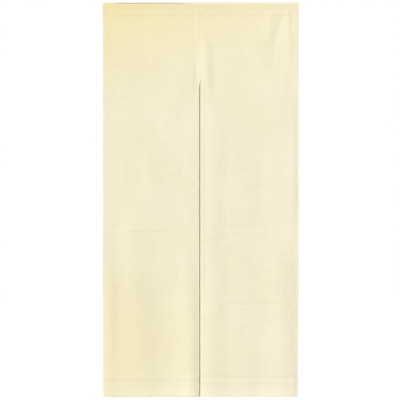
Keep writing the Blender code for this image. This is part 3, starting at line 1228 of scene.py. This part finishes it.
@dataclass
class Stitches:
    """Rows of lockstitch, made by Geometry Nodes along lines on the cloth. The lean is in radians."""

    pitch: float = 0.0032
    length: float = 0.0024
    thread: float = 0.00052
    lift: float = 0.00013
    dip: float = 0.00030
    lean: float = radians(4.0)
    stretch: float = 0.08
    seed: int = 3

    def tree(self) -> bpy.types.NodeTree:
        """Lays one stitch on each point of the resampled lines.

        Returns:
            The node tree.
        """
        tree = bpy.data.node_groups.new("rows_of_stitches", "GeometryNodeTree")
        tree.is_modifier = True
        graph = Graph(tree)
        sockets = {"Lines": "Geometry", "Finish": "Material", "Seed": "Int"}
        sockets |= dict.fromkeys(STITCH_SIZES, "Float")
        for name, kind in sockets.items():
            tree.interface.new_socket(name, in_out="INPUT", socket_type=f"NodeSocket{kind}")
        tree.interface.new_socket("Stitches", in_out="OUTPUT", socket_type="NodeSocketGeometry")
        given = graph.node("NodeGroupInput", {}, {}).outputs
        sizes = {name: Wire(graph, given[name]) for name in STITCH_SIZES}
        line = graph.first("GeometryNodeMeshToCurve", {}, {"Mesh": given["Lines"]})
        spacing = {"Curve": line, "Length": given["Pitch"]}
        chances = {2: -1.0, 3: 1.0, "Seed": given["Seed"]}
        spread = graph.node("FunctionNodeRandomValue", {"data_type": "FLOAT"}, chances)
        chance = Wire(graph, spread.outputs[1])
        placing = {
            "Points": graph.first("GeometryNodeResampleCurve", {"mode": "LENGTH"}, spacing),
            "Instance": self.one_stitch(graph, sizes),
            "Rotation": self.turned(graph, chance * sizes["Lean"]),
            "Scale": graph.join(1.0 + chance * sizes["Stretch"], 1.0, 1.0),
        }
        laid = graph.first("GeometryNodeInstanceOnPoints", {}, placing)
        real = graph.first("GeometryNodeRealizeInstances", {}, {0: laid})
        soft = graph.first("GeometryNodeSetShadeSmooth", {}, {0: real})
        done = graph.first("GeometryNodeSetMaterial", {}, {0: soft, "Material": given["Finish"]})
        graph.node("NodeGroupOutput", {}, {0: done})
        return tree

    def one_stitch(self, graph: Graph, sizes: dict[str, Wire]) -> Socket:
        """One bowed length of thread along X that dips into the cloth at both ends.

        Args:
            graph: the tree's graph.
            sizes: the tree's size inputs by name.

        Returns:
            The stitch's mesh.
        """
        half, low = sizes["Length"] * 0.5, sizes["Dip"] * -1.0
        bow = {
            "Resolution": 3,
            "Start": graph.join(half * -1.0, 0.0, low),
            "Middle": graph.join(0.0, 0.0, sizes["Lift"] * 2.0 + sizes["Dip"]),
            "End": graph.join(half, 0.0, low),
        }
        ring = {"Resolution": 6, "Radius": sizes["Thread"] * 0.5}
        swept = {
            "Curve": graph.first("GeometryNodeCurveQuadraticBezier", {}, bow),
            "Profile Curve": graph.first("GeometryNodeCurvePrimitiveCircle", {"mode": "RADIUS"}, ring),
            "Fill Caps": True,
        }
        return graph.first("GeometryNodeCurveToMesh", {}, swept)

    def turned(self, graph: Graph, lean: Wire) -> Socket:
        """The rotation that lays a stitch along its row and on the cloth.

        Args:
            graph: the tree's graph.
            lean: the angle by which it leaves the row's line.

        Returns:
            The rotation.
        """
        vectors, local = {"data_type": "FLOAT_VECTOR"}, {"rotation_space": "LOCAL"}
        away = graph.first("GeometryNodeInputNamedAttribute", vectors, {"Name": "away"})
        kind = "FunctionNodeAlignRotationToVector"
        along = graph.first(kind, {"axis": "X"}, {"Vector": graph.first("GeometryNodeInputTangent")})
        faced = graph.first(kind, {"axis": "Z", "pivot_axis": "X"}, {"Rotation": along, "Vector": away})
        leaning = graph.first("FunctionNodeEulerToRotation", {}, {0: graph.join(0.0, 0.0, lean)})
        return graph.first("FunctionNodeRotateRotation", local, {0: faced, 1: leaning})

    def build(self, name: str, lines: Lines, finish: Material) -> bpy.types.Object:
        """The stitches along some lines as one plain mesh.

        Args:
            name: the piece's name.
            lines: each row's points, and the direction away from the cloth at each.
            finish: the thread's material.

        Returns:
            The finished piece.
        """
        mesh = bpy.data.meshes.new(name)
        starts = np.cumsum([0] + [len(points) for points, _ in lines]).tolist()
        edges = []
        for low, high in zip(starts, starts[1:]):
            edges += [(number, number + 1) for number in range(low, high - 1)]
        mesh.from_pydata(np.concatenate([points for points, _ in lines]).tolist(), edges, [])
        layer = mesh.attributes.new("away", "FLOAT_VECTOR", "POINT")
        layer.data.foreach_set("vector", np.concatenate([away for _, away in lines]).ravel())
        piece = bpy.data.objects.new(name, mesh)
        bpy.context.scene.collection.objects.link(piece)
        modifier = piece.modifiers.new("stitches", "NODES")
        modifier.node_group = self.tree()
        values = {size: getattr(self, size.lower()) for size in (*STITCH_SIZES, "Seed")}
        values["Finish"] = finish
        for item in modifier.node_group.interface.items_tree:
            if item.in_out == "INPUT" and item.name in values:
                modifier[item.identifier] = values[item.name]
        evaluated = bpy.context.evaluated_depsgraph_get()
        result = bpy.data.meshes.new_from_object(piece.evaluated_get(evaluated), depsgraph=evaluated)
        piece.modifiers.clear()
        piece.data = result
        LOG.info("%s: %d faces", name, len(result.polygons))
        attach(piece, BODY)
        return piece


class LampKind(Enum):
    """How a lamp shines: in parallel from far away, or from a panel close by."""

    FAR = "SUN"
    PANEL = "AREA"


@dataclass(frozen=True)
class Lamp:
    """One soft light, aimed at the curtain's middle. A far one's size is its angle, in radians."""

    name: str
    kind: LampKind
    place: tuple[float, float, float]
    size: float
    power: float
    colour: tuple[float, float, float] = (1.0, 1.0, 1.0)


LAMPS = (
    Lamp("key", LampKind.FAR, (-4.4, -3.6, -0.04), 0.30, 2.3, (1.0, 0.985, 0.955)),
    Lamp("fill", LampKind.PANEL, (3.0, -3.4, 0.9), 2.4, 25.0),
    Lamp("behind", LampKind.PANEL, (-2.6, 3.2, 0.4), 1.8, 60.0),
)


@dataclass
class Studio:
    """The camera at the photograph's angle, soft lights, a white surround and a pale floor."""

    lens: float = 85.0
    sensor: float = 36.0
    camera: tuple[float, float, float] = (-0.0028, -4.0642, -0.8404)
    surround: float = 0.56
    overhead: float = 0.06
    floor_z: float = -2.0
    floor_half: float = 7.0
    floor_glow: float = 0.5

    def place_camera(self) -> None:
        """Puts the camera straight in front of the curtain."""
        data = bpy.data.cameras.new("camera")
        data.lens, data.sensor_width = self.lens, self.sensor
        data.clip_end = 60.0
        made = bpy.data.objects.new("camera", data)
        made.location = self.camera
        made.rotation_euler = (pi / 2, 0.0, 0.0)
        bpy.context.scene.collection.objects.link(made)
        bpy.context.scene.camera = made

    def hang_lamps(self) -> None:
        """Adds the lamps."""
        aim = Vector((0.0, 0.0, self.camera[2]))
        for lamp in LAMPS:
            data = bpy.data.lights.new(lamp.name, lamp.kind.value)
            data.energy, data.color = lamp.power, lamp.colour
            if lamp.kind is LampKind.FAR:
                data.angle = lamp.size
            else:
                data.size = lamp.size
            made = bpy.data.objects.new(lamp.name, data)
            made.location = lamp.place
            made.rotation_euler = (aim - made.location).to_track_quat("-Z", "Y").to_euler()
            bpy.context.scene.collection.objects.link(made)

    def set_world(self) -> None:
        """A surround that shows as pure white and lights the curtain more softly."""
        world = bpy.data.worlds.new("surround")
        bpy.context.scene.world = world
        world.use_nodes = True
        graph = Graph(world.node_tree)
        seen = Wire(graph, graph.named("ShaderNodeLightPath", "Is Camera Ray"))
        background = world.node_tree.nodes["Background"]
        background.inputs["Color"].default_value = (1.0, 1.0, 1.0, 1.0)
        up = graph.split(graph.named("ShaderNodeTexCoord", "Generated"))[2]
        lit = self.surround + up * self.overhead
        graph.feed(background.inputs["Strength"], lit + seen * (1.0 - lit))
        bpy.context.scene.view_settings.view_transform = "Standard"

    def lay_floor(self) -> None:
        """Adds the floor, hidden from diffuse rays."""
        half, z = self.floor_half, self.floor_z
        corners = [(-half, -half, z), (half, -half, z), (half, half, z), (-half, half, z)]
        mesh = bpy.data.meshes.new("floor")
        mesh.from_pydata(corners, [], [(0, 1, 2, 3)])
        finish, graph, shader = new_material("pale_floor")
        feeds = {
            "Base Color": (0.9, 0.9, 0.9, 1.0),
            "Roughness": 0.9,
            "Emission Color": (1.0, 1.0, 1.0, 1.0),
            "Emission Strength": self.floor_glow,
        }
        graph.feed_all(shader, feeds)
        mesh.materials.append(finish)
        made = bpy.data.objects.new("floor", mesh)
        made.visible_diffuse = False
        bpy.context.scene.collection.objects.link(made)

    def build(self) -> None:
        """Sets up the whole studio."""
        self.place_camera()
        self.hang_lamps()
        self.set_world()
        self.lay_floor()


def main() -> None:
    """Builds the studio, the cloth and its stitches."""
    logging.basicConfig(level=logging.INFO)
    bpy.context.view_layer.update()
    Studio().build()
    cloth, thread = NaturalCloth().material(), SewingThread().material()
    panels = (
        Panel(Side.LEFT, bottom_hem=0.075, flat=(0.503, 1.847), swells=LEFT_SWELLS, edge=LEFT_EDGE),
        Panel(
            Side.RIGHT,
            bottom_hem=0.087,
            flat=(0.493, 1.856),
            swells=RIGHT_SWELLS,
            edge=RIGHT_EDGE,
            pocket=Pocket(puff=0.0007),
        ),
    )
    for panel in panels:
        piece = panel.build(cloth)
        stitches = Stitches().build(f"{panel.side.value}_stitches", panel.stitch_lines(), thread)
        LOG.info("%s panel done", panel.side.value)


if __name__ == "__main__":
    main()
